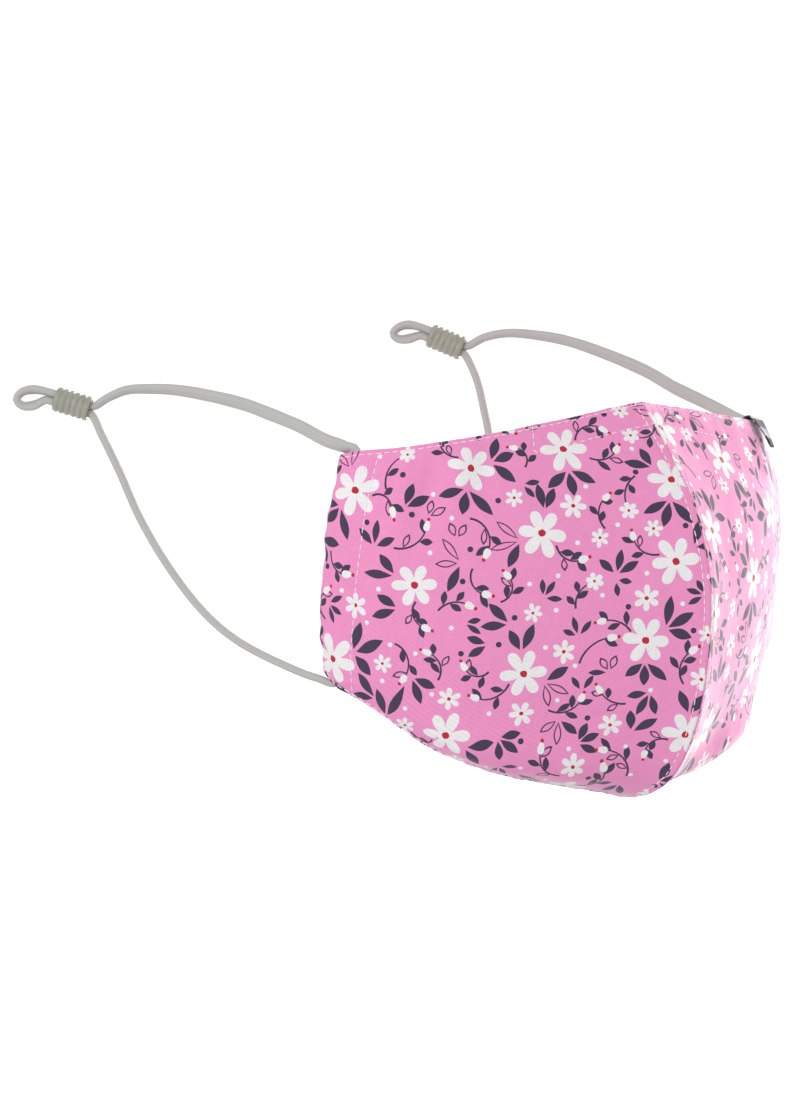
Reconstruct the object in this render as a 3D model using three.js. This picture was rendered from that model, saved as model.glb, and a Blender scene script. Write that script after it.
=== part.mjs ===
// Contoured cloth face mask with adjustable elastic ear loops, in millimetres.
// +Z is up, -Y is the way the wearer looks and -X is the wearer's right. The origin is the bridge of the nose:
// the inner face of the cloth at the top of the centre seam.

import * as THREE from 'three';

// Cloth shell: two mirrored halves of two-layer cotton, joined down the centre seam
const clothThickness = 2;
const seamGap = 0.3;
const maskHeight = 122;
const noseReach = 32.5;
const halfWidth = 86;
const sideDepth = 53.7;
const sideTopDrop = 14.5;
const sideHeight = 66.9;
const chinDip = 9;

// Side casing: the cloth is folded back and stitched down, which leaves a tunnel for the elastic
const casingWidth = 14.5;
const casingWall = 1;
const tunnelHeight = 3.6;
const creaseHeight = 0.4;
const stitchGap = 0.3;

// Ear loop: a tubular knitted elastic, drawn with its mean oval section
const elasticWidth = 2.8;
const elasticThickness = 2.2;
const strandGap = 0.3;

// Cord stopper: a ribbed silicone tube that both strands of a loop pass through
const stopperRibs = 6;
const stopperRibPitch = 1.87;
const stopperRibHeight = 0.6;
const stopperWall = 0.6;
const stopperClearance = 0.3;

// Edge label: a plain woven tab folded over the top edge and sewn through it
const labelWidth = 11;
const labelThickness = 0.8;
const labelFromSeam = 66;
const labelInnerLeg = 5;
const labelOuterLeg = 9.5;
const labelFlare = 10;
const labelDroop = 15;
const labelGap = 0.8;

// Rows down the mask from the top edge to the bottom edge. Lengths are shares of the named sizes:
// seamForward of noseReach, seamDrop of maskHeight, sideOut of halfWidth, sideBack of sideDepth,
// sideFall of sideHeight below sideTopDrop, and dip of chinDip. The angles are those at which the cloth
// leaves the seam and reaches the side fold, in degrees from straight across.
const sectionColumns = [
  'down', 'seamForward', 'seamDrop', 'sideOut', 'sideBack', 'sideFall', 'seamAngle', 'sideAngle', 'dip',
];
const sectionRows = [
  [0.00, 0.00, 0.000, 0.965, 0.829, 0.000, 12, 70, 0.10],
  [0.10, 0.31, 0.090, 0.977, 0.838, 0.097, 20, 74, 0.05],
  [0.25, 0.77, 0.254, 0.994, 0.866, 0.254, 30, 78, 0.00],
  [0.40, 1.00, 0.451, 1.000, 0.894, 0.411, 35, 80, 0.00],
  [0.55, 0.95, 0.648, 0.998, 0.927, 0.575, 36, 81, 0.11],
  [0.70, 0.78, 0.807, 0.988, 0.959, 0.732, 36, 81, 0.44],
  [0.82, 0.49, 0.926, 0.976, 0.980, 0.852, 33, 80, 0.78],
  [0.92, 0.12, 0.984, 0.963, 0.993, 0.942, 26, 76, 0.94],
  [1.00, -0.215, 1.000, 0.953, 1.000, 1.000, 18, 70, 1.00],
];
// How far each end angle holds along a row, and how far the dip leans to the side, as shares of the row
const seamPull = 0.36;
const sidePull = 0.38;
const dipLean = 1.2;

// Outline of the side casing in section, from its stitched front edge over the outside and back along the
// inside: forward is a share of casingWidth from the fold, depth a share of the thickness there. The tunnel
// columns give the wall of the hollow across from each point, its depth as a share of tunnelHeight.
const casingColumns = ['forward', 'depth', 'tunnelForward', 'tunnelDepth'];
const casingRows = [
  [1.00, 0.00, 0.84, 0.00],
  [0.78, 0.00, 0.74, 0.00],
  [0.54, 0.00, 0.54, 0.00],
  [0.28, 0.00, 0.28, 0.00],
  [0.11, 0.06, 0.15, 0.04],
  [0.02, 0.27, 0.09, 0.25],
  [0.00, 0.50, 0.08, 0.50],
  [0.02, 0.75, 0.09, 0.75],
  [0.11, 0.95, 0.15, 0.96],
  [0.28, 1.00, 0.28, 1.00],
  [0.54, 0.96, 0.54, 0.92],
  [0.78, 0.72, 0.74, 0.55],
];

// One rib of the stopper in section, and the valley before it: along is a share of stopperRibPitch, and rise a
// share of stopperRibHeight
const ribColumns = ['along', 'rise'];
const ribRows = [
  [0.00, 0.25],
  [0.16, 0.70],
  [0.36, 1.00],
  [0.64, 1.00],
  [0.84, 0.70],
];

// Routes of the two elastics, chosen point by point: up out of the casing, back to the stopper, round the
// short end loop behind it, through the stopper again, down to the casing and up inside it.
const rightRoute = [
  [-82.2, 40.8, -38.0], [-81.4, 39.8, -29.6], [-80.0, 38.9, -20.6], [-78.7, 39.0, -13.8], [-79.9, 42.4, -12.8],
  [-82.1, 48.6, -11.1], [-83.4, 59.4, -7.5], [-84.8, 72.0, -4.4], [-86.7, 84.0, -1.7],
  [-92.1, 106.1, 1.1], [-95.7, 116.3, 1.2], [-98.9, 123.8, 0.5], [-101.7, 129.6, -2.1],
  [-103.3, 134.3, -4.8], [-104.5, 135.7, -4.2], [-110.0, 142.3, -1.7], [-112.3, 145.0, -0.6],
  [-115.3, 148.6, 0.1], [-117.7, 151.5, -0.8], [-118.7, 152.7, -2.9], [-117.6, 151.4, -4.8],
  [-115.2, 148.6, -4.7], [-112.7, 145.6, -3.0], [-110.5, 142.9, -4.1], [-104.9, 136.2, -6.6],
  [-103.7, 134.8, -7.3], [-102.7, 131.1, -13.4], [-99.9, 126.2, -24.2], [-97.1, 119.4, -38.6],
  [-93.5, 110.3, -52.8], [-89.9, 98.2, -65.8], [-86.9, 85.2, -74.2],
  [-83.3, 59.4, -82.2], [-81.3, 53.2, -83.8], [-78.3, 48.8, -85.1], [-78.6, 47.7, -81.2],
  [-80.4, 46.4, -73.2], [-81.8, 44.2, -60.4], [-82.4, 42.3, -48.4], [-82.3, 41.0, -39.2],
];
const leftRoute = [
  [82.2, 40.8, -38.0], [81.4, 39.8, -29.6], [80.0, 38.9, -20.6], [78.7, 39.0, -13.8], [79.2, 42.6, -12.8],
  [79.5, 49.2, -10.9], [78.0, 58.6, -7.6], [75.0, 68.0, -3.9], [71.4, 79.0, 1.3],
  [62.5, 102.3, 9.0], [57.2, 114.1, 10.9], [52.9, 122.6, 11.2], [49.4, 129.2, 9.7],
  [47.0, 135.2, 6.7], [45.9, 136.5, 7.4], [40.5, 142.9, 10.8], [38.3, 145.5, 12.2],
  [35.2, 149.2, 13.2], [33.0, 151.8, 12.3], [32.0, 153.0, 10.4], [33.0, 151.8, 8.8],
  [35.2, 149.1, 8.9], [37.7, 146.2, 9.9], [39.9, 143.6, 8.5], [45.3, 137.2, 5.1],
  [46.4, 135.9, 4.5], [48.3, 132.0, -3.2], [49.5, 129.0, -15.0], [51.3, 125.4, -32.0],
  [54.6, 119.0, -46.0], [59.6, 109.0, -58.5], [65.7, 94.0, -69.5],
  [77.2, 61.6, -81.9], [78.9, 53.6, -83.9], [78.1, 49.0, -85.1], [78.6, 47.7, -81.2],
  [80.4, 46.4, -73.2], [81.8, 44.2, -60.4], [82.4, 42.3, -48.4], [82.3, 41.0, -39.2],
];
// The rows of a route that lie inside the stopper: the strand going back, then the strand coming forward
const backStrand = [14, 15];
const foreStrand = [23, 24];

// Fineness of the faceted surfaces
const panelSteps = 22;
const rowSteps = 26;
const casingSteps = 16;
const stopperSides = 16;
const elasticSides = 8;
const elasticSteps = 80;
// The share of a row or column over which the slope of the cloth is taken
const slopeStep = 0.002;

const floral = new THREE.MeshStandardMaterial({ color: 0xf08cc0, roughness: 0.9, metalness: 0 });
const elasticKnit = new THREE.MeshStandardMaterial({ color: 0xd7d7d5, roughness: 0.85, metalness: 0 });
const silicone = new THREE.MeshStandardMaterial({ color: 0xb1b1a8, roughness: 0.45, metalness: 0 });
const labelWeave = new THREE.MeshStandardMaterial({ color: 0x3f4144, roughness: 0.8, metalness: 0 });

function readTable(columns, rows) {
  return rows.map((row) => Object.fromEntries(columns.map((name, i) => [name, row[i]])));
}

const sections = readTable(sectionColumns, sectionRows);
const casingOutline = readTable(casingColumns, casingRows);
const ribOutline = readTable(ribColumns, ribRows);

// One column of the section table at any place down the mask: a cubic through the rows
function sectionValue(name, down) {
  const last = sections.length - 1;
  let i = 0;
  while (i < last - 1 && down > sections[i + 1].down) i += 1;
  const slopeAt = (k) => {
    const before = sections[Math.max(k - 1, 0)];
    const after = sections[Math.min(k + 1, last)];
    return (after[name] - before[name]) / (after.down - before.down);
  };
  const start = sections[i];
  const end = sections[i + 1];
  const span = end.down - start.down;
  const t = (down - start.down) / span;
  const startWeight = 2 * t ** 3 - 3 * t ** 2 + 1;
  const startSlope = (t ** 3 - 2 * t ** 2 + t) * span * slopeAt(i);
  const endSlope = (t ** 3 - t ** 2) * span * slopeAt(i + 1);
  return startWeight * start[name] + startSlope + (1 - startWeight) * end[name] + endSlope;
}

// A point of the outer cloth face: across runs from the centre seam, 0, to the side fold, 1, and down from the
// top edge, 0, to the bottom edge, 1. side is -1 on the wearer's right and +1 on the left.
function clothPoint(side, across, down) {
  const value = (name) => sectionValue(name, down);
  const seamY = -noseReach * value('seamForward');
  const seamZ = -maskHeight * value('seamDrop');
  const foldX = halfWidth * value('sideOut');
  const foldY = sideDepth * value('sideBack');
  const foldZ = -sideTopDrop - sideHeight * value('sideFall');
  const chord = Math.hypot(foldX, foldY - seamY);
  const seamAngle = THREE.MathUtils.degToRad(value('seamAngle'));
  const sideAngle = THREE.MathUtils.degToRad(value('sideAngle'));
  const plan = new THREE.CubicBezierCurve(
    new THREE.Vector2(0, seamY),
    new THREE.Vector2(Math.cos(seamAngle), Math.sin(seamAngle)).multiplyScalar(seamPull * chord)
      .add(new THREE.Vector2(0, seamY)),
    new THREE.Vector2(-Math.cos(sideAngle), -Math.sin(sideAngle)).multiplyScalar(sidePull * chord)
      .add(new THREE.Vector2(foldX, foldY)),
    new THREE.Vector2(foldX, foldY),
  ).getPoint(across);
  const dip = chinDip * value('dip') * Math.sin(Math.PI * across ** dipLean);
  const height = seamZ + (foldZ - seamZ) * across - dip;
  return new THREE.Vector3(side * (seamGap / 2 + plan.x), plan.y - clothThickness, height);
}

// The direction from the outer face into the cloth. At the seam it is mitred, so that both halves meet flat.
function inwardAt(side, across, down) {
  const a = Math.min(across, 1 - slopeStep);
  const d = Math.min(down, 1 - slopeStep);
  const here = clothPoint(side, a, d);
  const alongRow = clothPoint(side, a + slopeStep, d).sub(here);
  const alongColumn = clothPoint(side, a, d + slopeStep).sub(here);
  const inward = alongRow.cross(alongColumn).multiplyScalar(side).normalize();
  if (across > 0) return inward;
  const mitre = inward.y ** 2 + inward.z ** 2;
  return new THREE.Vector3(0, inward.y / mitre, inward.z / mitre);
}

function clothLayer(side, across, down, depth) {
  return clothPoint(side, across, down).addScaledVector(inwardAt(side, across, down), depth);
}

// Where a length measured along one row, from the side fold or from the seam, falls as a share of that row
function acrossAt(down, length, fromSeam) {
  const samples = 120;
  let walked = 0;
  let last = clothPoint(1, fromSeam ? 0 : 1, down);
  for (let i = 1; i <= samples; i += 1) {
    const across = fromSeam ? i / samples : 1 - i / samples;
    const next = clothPoint(1, across, down);
    const step = next.distanceTo(last);
    if (walked + step >= length) {
      const part = (length - walked) / step;
      return fromSeam ? (i - 1 + part) / samples : 1 - (i - 1 + part) / samples;
    }
    walked += step;
    last = next;
  }
  return fromSeam ? 1 : 0;
}

// Closes a mesh from faces given as loops of four corners; flip turns them outwards on the mirrored side
function meshFromQuads(points, quads, flip) {
  const index = [];
  for (const [a, b, c, d] of quads) {
    if (flip) index.push(a, c, b, a, d, c);
    else index.push(a, b, c, a, c, d);
  }
  const geometry = new THREE.BufferGeometry();
  geometry.setAttribute('position', new THREE.Float32BufferAttribute(points.flatMap((p) => p.toArray()), 3));
  geometry.setIndex(index);
  geometry.computeVertexNormals();
  return geometry;
}

function shellHalf(side) {
  const points = [];
  const seat = (column, row, layer) => ((row * (panelSteps + 1)) + column) * 2 + layer;
  for (let row = 0; row <= rowSteps; row += 1) {
    const down = row / rowSteps;
    const edge = acrossAt(down, casingWidth + stitchGap, false);
    for (let column = 0; column <= panelSteps; column += 1) {
      const across = edge * column / panelSteps;
      points.push(clothLayer(side, across, down, 0), clothLayer(side, across, down, clothThickness));
    }
  }
  const quads = [];
  for (let row = 0; row < rowSteps; row += 1) {
    for (let column = 0; column < panelSteps; column += 1) {
      const corners = [[column, row], [column, row + 1], [column + 1, row + 1], [column + 1, row]];
      quads.push(corners.map(([c, r]) => seat(c, r, 0)));
      quads.push(corners.map(([c, r]) => seat(c, r, 1)).reverse());
    }
    quads.push([seat(0, row, 0), seat(0, row, 1), seat(0, row + 1, 1), seat(0, row + 1, 0)]);
    quads.push([
      seat(panelSteps, row, 0), seat(panelSteps, row + 1, 0),
      seat(panelSteps, row + 1, 1), seat(panelSteps, row, 1),
    ]);
  }
  for (let column = 0; column < panelSteps; column += 1) {
    quads.push([seat(column, 0, 0), seat(column + 1, 0, 0), seat(column + 1, 0, 1), seat(column, 0, 1)]);
    quads.push([
      seat(column, rowSteps, 0), seat(column, rowSteps, 1),
      seat(column + 1, rowSteps, 1), seat(column + 1, rowSteps, 0),
    ]);
  }
  return meshFromQuads(points, quads, side < 0);
}

function casing(side) {
  const points = [];
  const fullDepth = tunnelHeight + 2 * casingWall;
  const around = casingOutline.length + 1;
  // The front edge is as thick as the cloth, and closes the outline on the inside
  const outline = casingOutline.map((o) => [o.forward * casingWidth, o.depth * fullDepth]);
  outline.push([casingWidth, clothThickness]);
  const hollow = casingOutline.map((o) => [
    o.tunnelForward * casingWidth, casingWall + o.tunnelDepth * tunnelHeight,
  ]);
  // The tunnel closes to a crease where the two layers are stitched together
  hollow.push([hollow[0][0], hollow[0][1] + creaseHeight]);
  for (let row = 0; row <= casingSteps; row += 1) {
    const down = row / casingSteps;
    for (const [forward, depth] of [...outline, ...hollow]) {
      points.push(clothLayer(side, acrossAt(down, forward, false), down, depth));
    }
  }
  const seat = (row, ring, k) => (row * 2 + ring) * around + (k % around);
  const quads = [];
  for (let k = 0; k < around; k += 1) {
    for (let row = 0; row < casingSteps; row += 1) {
      quads.push([seat(row, 0, k), seat(row + 1, 0, k), seat(row + 1, 0, k + 1), seat(row, 0, k + 1)]);
      quads.push([seat(row, 1, k), seat(row, 1, k + 1), seat(row + 1, 1, k + 1), seat(row + 1, 1, k)]);
    }
    quads.push([seat(0, 0, k), seat(0, 0, k + 1), seat(0, 1, k + 1), seat(0, 1, k)]);
    quads.push([
      seat(casingSteps, 0, k), seat(casingSteps, 1, k),
      seat(casingSteps, 1, k + 1), seat(casingSteps, 0, k + 1),
    ]);
  }
  return meshFromQuads(points, quads, side < 0);
}

// A route whose samples fall evenly between its points, so that tight bends get short steps
class ElasticRoute extends THREE.CatmullRomCurve3 {
  getUtoTmapping(share) {
    return share;
  }
}

function earLoop(route) {
  const path = new ElasticRoute(route.map((point) => new THREE.Vector3(...point)));
  const frames = path.computeFrenetFrames(elasticSteps, false);
  // The wide side of the elastic starts square to the plane that the loop hangs in
  const turn = Math.atan2(frames.binormals[0].x, frames.normals[0].x);
  const outline = [];
  for (let k = 0; k < elasticSides; k += 1) {
    const angle = 2 * Math.PI * k / elasticSides;
    const wide = elasticWidth / 2 * Math.cos(angle);
    const thin = elasticThickness / 2 * Math.sin(angle);
    outline.push(new THREE.Vector2(
      wide * Math.cos(turn) - thin * Math.sin(turn),
      wide * Math.sin(turn) + thin * Math.cos(turn),
    ));
  }
  return new THREE.ExtrudeGeometry(new THREE.Shape(outline), { steps: elasticSteps, extrudePath: path });
}

function stopper() {
  const bore = elasticThickness + strandGap / 2 + stopperClearance;
  const root = bore + stopperWall;
  const length = stopperRibs * stopperRibPitch;
  const valley = root + ribOutline[0].rise * stopperRibHeight;
  const profile = [new THREE.Vector2(bore, -length / 2)];
  for (let rib = 0; rib < stopperRibs; rib += 1) {
    for (const { along, rise } of ribOutline) {
      const height = (rib + along) * stopperRibPitch - length / 2;
      profile.push(new THREE.Vector2(root + rise * stopperRibHeight, height));
    }
  }
  profile.push(new THREE.Vector2(valley, length / 2), new THREE.Vector2(bore, length / 2), profile[0].clone());
  return new THREE.LatheGeometry(profile, stopperSides);
}

// The label in section, with x out of the cloth and y up along it: up the inside of the edge, over it, and down
// the outside, where it flares away and then droops
function edgeLabel() {
  const half = labelThickness / 2;
  const flare = THREE.MathUtils.degToRad(labelFlare);
  const droop = THREE.MathUtils.degToRad(labelFlare - labelDroop);
  const shoulder = new THREE.Vector2(labelGap + half, -half);
  const halfLeg = labelOuterLeg / 2;
  const bend = new THREE.Vector2(Math.sin(flare), -Math.cos(flare)).multiplyScalar(halfLeg).add(shoulder);
  const tip = new THREE.Vector2(Math.sin(droop), -Math.cos(droop)).multiplyScalar(halfLeg).add(bend);
  const middle = [
    new THREE.Vector2(-clothThickness - labelGap - half, -labelInnerLeg),
    new THREE.Vector2(-clothThickness - labelGap - half, -half),
    new THREE.Vector2(-clothThickness, labelGap + half),
    new THREE.Vector2(0, labelGap + half),
    shoulder, bend, tip,
  ];
  const near = [];
  const far = [];
  middle.forEach((point, i) => {
    const before = middle[Math.max(i - 1, 0)];
    const after = middle[Math.min(i + 1, middle.length - 1)];
    const along = after.clone().sub(before).normalize();
    const across = new THREE.Vector2(-along.y, along.x).multiplyScalar(half);
    near.push(point.clone().add(across));
    far.unshift(point.clone().sub(across));
  });
  const shape = new THREE.Shape([...near, ...far]);
  const geometry = new THREE.ExtrudeGeometry(shape, { depth: labelWidth, bevelEnabled: false });
  return geometry.translate(0, 0, -labelWidth / 2);
}

const mask = new THREE.Group();

function addPiece(name, geometry, material) {
  const piece = new THREE.Mesh(geometry, material);
  piece.name = name;
  mask.add(piece);
  return piece;
}

const sides = [
  { name: 'right', side: -1, route: rightRoute },
  { name: 'left', side: 1, route: leftRoute },
];
for (const { name, side, route } of sides) {
  addPiece(`shell_${name}`, shellHalf(side), floral);
  addPiece(`casing_${name}`, casing(side), floral);
  addPiece(`ear_loop_${name}`, earLoop(route), elasticKnit);

  // The stopper is centred between the two strands, in line with them
  const seats = [...backStrand, ...foreStrand].map((row) => new THREE.Vector3(...route[row]));
  const front = seats[0].clone().add(seats[3]).multiplyScalar(0.5);
  const rear = seats[1].clone().add(seats[2]).multiplyScalar(0.5);
  const piece = addPiece(`cord_stopper_${name}`, stopper(), silicone);
  piece.position.copy(front).lerp(rear, 0.5);
  piece.quaternion.setFromUnitVectors(new THREE.Vector3(0, 1, 0), front.clone().sub(rear).normalize());
}

// The label sits on the top edge of the left half, its width along the edge
const labelAcross = acrossAt(0, labelFromSeam, true);
const labelSeat = clothPoint(1, labelAcross, 0);
const outward = inwardAt(1, labelAcross, 0).negate();
const towardsSeam = clothPoint(1, labelAcross - slopeStep, 0);
const alongEdge = towardsSeam.sub(labelSeat).normalize();
outward.addScaledVector(alongEdge, -outward.dot(alongEdge)).normalize();
const upright = new THREE.Vector3().crossVectors(alongEdge, outward);
const label = addPiece('edge_label', edgeLabel(), labelWeave);
label.quaternion.setFromRotationMatrix(new THREE.Matrix4().makeBasis(outward, upright, alongEdge));
label.position.copy(labelSeat);

export default mask;
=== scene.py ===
import math

import bpy
import numpy as np
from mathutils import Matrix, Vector, geometry, kdtree, noise


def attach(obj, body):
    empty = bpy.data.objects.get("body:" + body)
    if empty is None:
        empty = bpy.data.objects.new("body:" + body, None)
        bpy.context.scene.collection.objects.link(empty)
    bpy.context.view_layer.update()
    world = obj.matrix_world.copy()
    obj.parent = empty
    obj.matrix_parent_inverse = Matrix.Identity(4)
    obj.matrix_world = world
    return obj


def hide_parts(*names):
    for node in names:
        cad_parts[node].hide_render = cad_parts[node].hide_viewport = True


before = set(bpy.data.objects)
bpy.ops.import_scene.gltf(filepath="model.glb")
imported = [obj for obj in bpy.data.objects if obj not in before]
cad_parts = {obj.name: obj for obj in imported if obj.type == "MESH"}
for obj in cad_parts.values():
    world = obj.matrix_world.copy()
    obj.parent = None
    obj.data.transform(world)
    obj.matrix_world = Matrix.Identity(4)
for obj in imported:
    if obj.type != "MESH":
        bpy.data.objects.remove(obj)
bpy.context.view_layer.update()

# Camera: it stands four metres off, turned forty degrees towards the mask's right side and five degrees up,
# with a long lens. A millimetre at the top of the centre seam covers 3.3 pixels of an image 1120 high.
camera_turn, camera_lift = math.radians(-40), math.radians(5)
camera_distance, sensor_height, pixels_per_mm = 4.0, 36, 3.3
image_height = 1120 / pixels_per_mm / 1000
# How far the middle of the image lies to the left of the top of the seam and below it, in metres
aim_left, aim_below = 0.07303, 0.04848
to_camera = Vector((
    math.sin(camera_turn) * math.cos(camera_lift),
    -math.cos(camera_turn) * math.cos(camera_lift),
    math.sin(camera_lift),
))
to_right = Vector((math.cos(camera_turn), math.sin(camera_turn), 0))
to_top = to_camera.cross(to_right)
seam_top = Vector((0, -0.002, 0))
aim = seam_top - to_right * aim_left - to_top * aim_below
camera_data = bpy.data.cameras.new("camera")
camera_data.sensor_fit = "VERTICAL"
camera_data.sensor_height = sensor_height
camera_data.lens = sensor_height * camera_distance / image_height
camera_data.clip_start, camera_data.clip_end = 0.1, 20
camera = bpy.data.objects.new("camera", camera_data)
camera.location = aim + to_camera * camera_distance
camera.rotation_mode = "QUATERNION"
camera.rotation_quaternion = (-to_camera).to_track_quat("-Z", "Y")
bpy.context.scene.collection.objects.link(camera)
bpy.context.scene.camera = camera

# Ear loops: each is one flat elastic, knitted from grey polyester over rubber threads. It is threaded up
# through the side casing and back through the stopper, and turns round in a short end loop behind it.
elastic_width, elastic_thickness = 4.3, 2.5
elastic_girth, elastic_sides = 11.0, 20
sides = {"right": -1, "left": 1}
# Route points in millimetres. Both elastics run alike inside the casing: up to its top mouth at the start of
# the route, and up from its bottom mouth at the end of it. They are given for the left side.
casing_start = [(82.2, 40.8, -38.0), (81.4, 39.8, -29.6), (80.0, 38.9, -20.6), (78.7, 39.0, -13.8)]
casing_end = [
    (78.6, 47.7, -81.2), (80.4, 46.4, -73.2), (81.8, 44.2, -60.4), (82.4, 42.3, -48.4), (82.3, 41.0, -39.2),
]
# Outside the casing each has a course of its own: back to the stopper, round the end loop and down again
right_course = [
    (-79.9, 42.4, -12.8),
    (-82.1, 48.6, -11.1), (-83.4, 59.4, -7.5), (-84.8, 72.0, -4.4), (-86.7, 84.0, -1.7), (-92.1, 106.1, 1.1),
    (-95.7, 116.3, 1.2), (-98.9, 123.8, 0.5), (-101.7, 129.6, -2.1), (-103.3, 134.3, -4.8),
    (-104.5, 135.7, -4.2), (-110.0, 142.3, -1.7), (-112.3, 145.0, -0.6), (-115.3, 148.6, 0.1),
    (-117.7, 151.5, -0.8), (-118.7, 152.7, -2.9), (-117.6, 151.4, -4.8), (-115.2, 148.6, -4.7),
    (-112.7, 145.6, -3.0), (-110.5, 142.9, -4.1), (-104.9, 136.2, -6.6), (-103.7, 134.8, -7.3),
    (-102.7, 131.1, -13.4), (-99.9, 126.2, -24.2), (-97.1, 119.4, -38.6), (-93.5, 110.3, -52.8),
    (-89.9, 98.2, -65.8), (-86.9, 85.2, -74.2), (-83.3, 59.4, -82.2), (-81.3, 53.2, -83.8),
    (-78.3, 48.8, -85.1),
]
left_course = [
    (79.2, 42.6, -12.8),
    (79.5, 49.2, -10.9), (78.0, 58.6, -7.6), (75.0, 68.0, -3.9), (71.4, 79.0, 1.3), (62.5, 102.3, 9.0),
    (57.2, 114.1, 10.9), (52.9, 122.6, 11.2), (49.4, 129.2, 9.7), (47.0, 135.2, 6.7),
    (45.9, 136.5, 7.4), (40.5, 142.9, 10.8), (38.3, 145.5, 12.2), (35.2, 149.2, 13.2),
    (33.0, 151.8, 12.3), (32.0, 153.0, 10.4), (33.0, 151.8, 8.8), (35.2, 149.1, 8.9),
    (37.7, 146.2, 9.9), (39.9, 143.6, 8.5), (45.3, 137.2, 5.1), (46.4, 135.9, 4.5),
    (48.3, 132.0, -3.2), (49.5, 129.0, -15.0), (51.3, 125.4, -32.0), (54.6, 119.0, -46.0),
    (59.6, 109.0, -58.5), (65.7, 94.0, -69.5), (77.2, 61.6, -81.9), (78.9, 53.6, -83.9),
    (78.1, 49.0, -85.1),
]
elastic_routes = {}
for (side_name, side), course in zip(sides.items(), (right_course, left_course)):
    start, end = ([(side * x, y, z) for x, y, z in part] for part in (casing_start, casing_end))
    elastic_routes[side_name] = start + course + end
# The two strands lie in the stopper at these points of the route: its front end, then its rear end
stopper_front, stopper_rear = (14, 24), (15, 23)
# How the flat elastic twists: a route point, the way its wide side points there, and its share of full size
elastic_twist = [
    (0, (0, -1, 0), 1.0), (3, (0, -1, 0), 1.0), (5, (0, -0.1, 1), 0.95), (8, (-0.3, -0.1, 1), 1.0),
    (10, (-0.8, -0.3, 0.6), 1.0), (12, (-0.93, -0.36, 0.1), 0.95), (14, (-0.77, -0.64, 0.05), 0.8),
    (15, (-0.77, -0.64, 0.05), 0.8), (17, (-0.68, -0.55, 0.45), 1.0), (19, (-0.77, -0.64, 0.05), 0.95),
    (21, (-0.68, -0.55, -0.45), 1.0), (23, (-0.77, -0.64, 0.05), 0.8), (24, (-0.77, -0.64, 0.05), 0.8),
    (26, (-0.64, -0.76, 0.09), 0.95), (33, (-0.64, -0.76, 0.09), 1.0), (36, (0, -1, 0), 1.0),
    (39, (0, -1, 0), 1.0),
]


def follow(points, step):
    """Points a step apart on a smooth curve through the given ones, and how far along each given one lies."""
    given = np.array(points, float)
    given = np.vstack([2 * given[0] - given[1], given, 2 * given[-1] - given[-2]])
    share = np.linspace(0, 1, 24, endpoint=False)[:, None]
    fine = []
    for a, b, c, d in zip(given, given[1:], given[2:], given[3:]):
        ab, bc, cd = (np.linalg.norm(q - p) ** 0.5 for p, q in ((a, b), (b, c), (c, d)))
        leaving = bc * ((b - a) / ab - (c - a) / (ab + bc) + (c - b) / bc)
        arriving = bc * ((c - b) / bc - (d - b) / (bc + cd) + (d - c) / cd)
        near = 2 * share**3 - 3 * share**2 + 1
        fine.append(
            near * b + (1 - near) * c
            + (share**3 - 2 * share**2 + share) * leaving + (share**3 - share**2) * arriving
        )
    fine = np.vstack(fine + [given[-2:-1]])
    walked = np.concatenate([[0], np.cumsum(np.linalg.norm(np.diff(fine, axis=0), axis=1))])
    stops = np.linspace(0, walked[-1], max(2, round(walked[-1] / step)) + 1)
    path = np.stack([np.interp(stops, walked, fine[:, k]) for k in range(fine.shape[1])], axis=1)
    return path, stops, walked[::24]


def unit(vectors):
    return vectors / np.linalg.norm(vectors, axis=-1, keepdims=True)


def new_piece(name, points, faces, uv_name=None, uvs=None):
    """A mesh object from points in millimetres; uvs holds one pair for each corner of the faces in turn."""
    mesh = bpy.data.meshes.new(name)
    mesh.from_pydata((np.asarray(points) / 1000).tolist(), [], faces)
    if uv_name:
        layer = mesh.uv_layers.new(name=uv_name)
        layer.data.foreach_set("uv", np.asarray(uvs, float).ravel())
    mesh.shade_smooth()
    piece = bpy.data.objects.new(name, mesh)
    bpy.context.scene.collection.objects.link(piece)
    return piece


def linear(code):
    """The linear colour of an sRGB hex value."""
    shares = [int(code[i:i + 2], 16) / 255 for i in (1, 3, 5)]
    return tuple(s / 12.92 if s <= 0.04045 else ((s + 0.055) / 1.055) ** 2.4 for s in shares) + (1,)


def add_node(tree, kind, inputs=None, **settings):
    """A node with its settings; each input takes a value, or the socket that feeds it."""
    node = tree.nodes.new(kind)
    for name, value in settings.items():
        setattr(node, name, value)
    for key, value in (inputs or {}).items():
        if isinstance(value, bpy.types.NodeSocket):
            tree.links.new(value, node.inputs[key])
        else:
            node.inputs[key].default_value = value
    return node


def new_material(name):
    """An empty material with its node tree and output node."""
    material = bpy.data.materials.new(name)
    material.use_nodes = True
    material.node_tree.nodes.clear()
    tree = material.node_tree
    return material, tree, add_node(tree, "ShaderNodeOutputMaterial")


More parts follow.
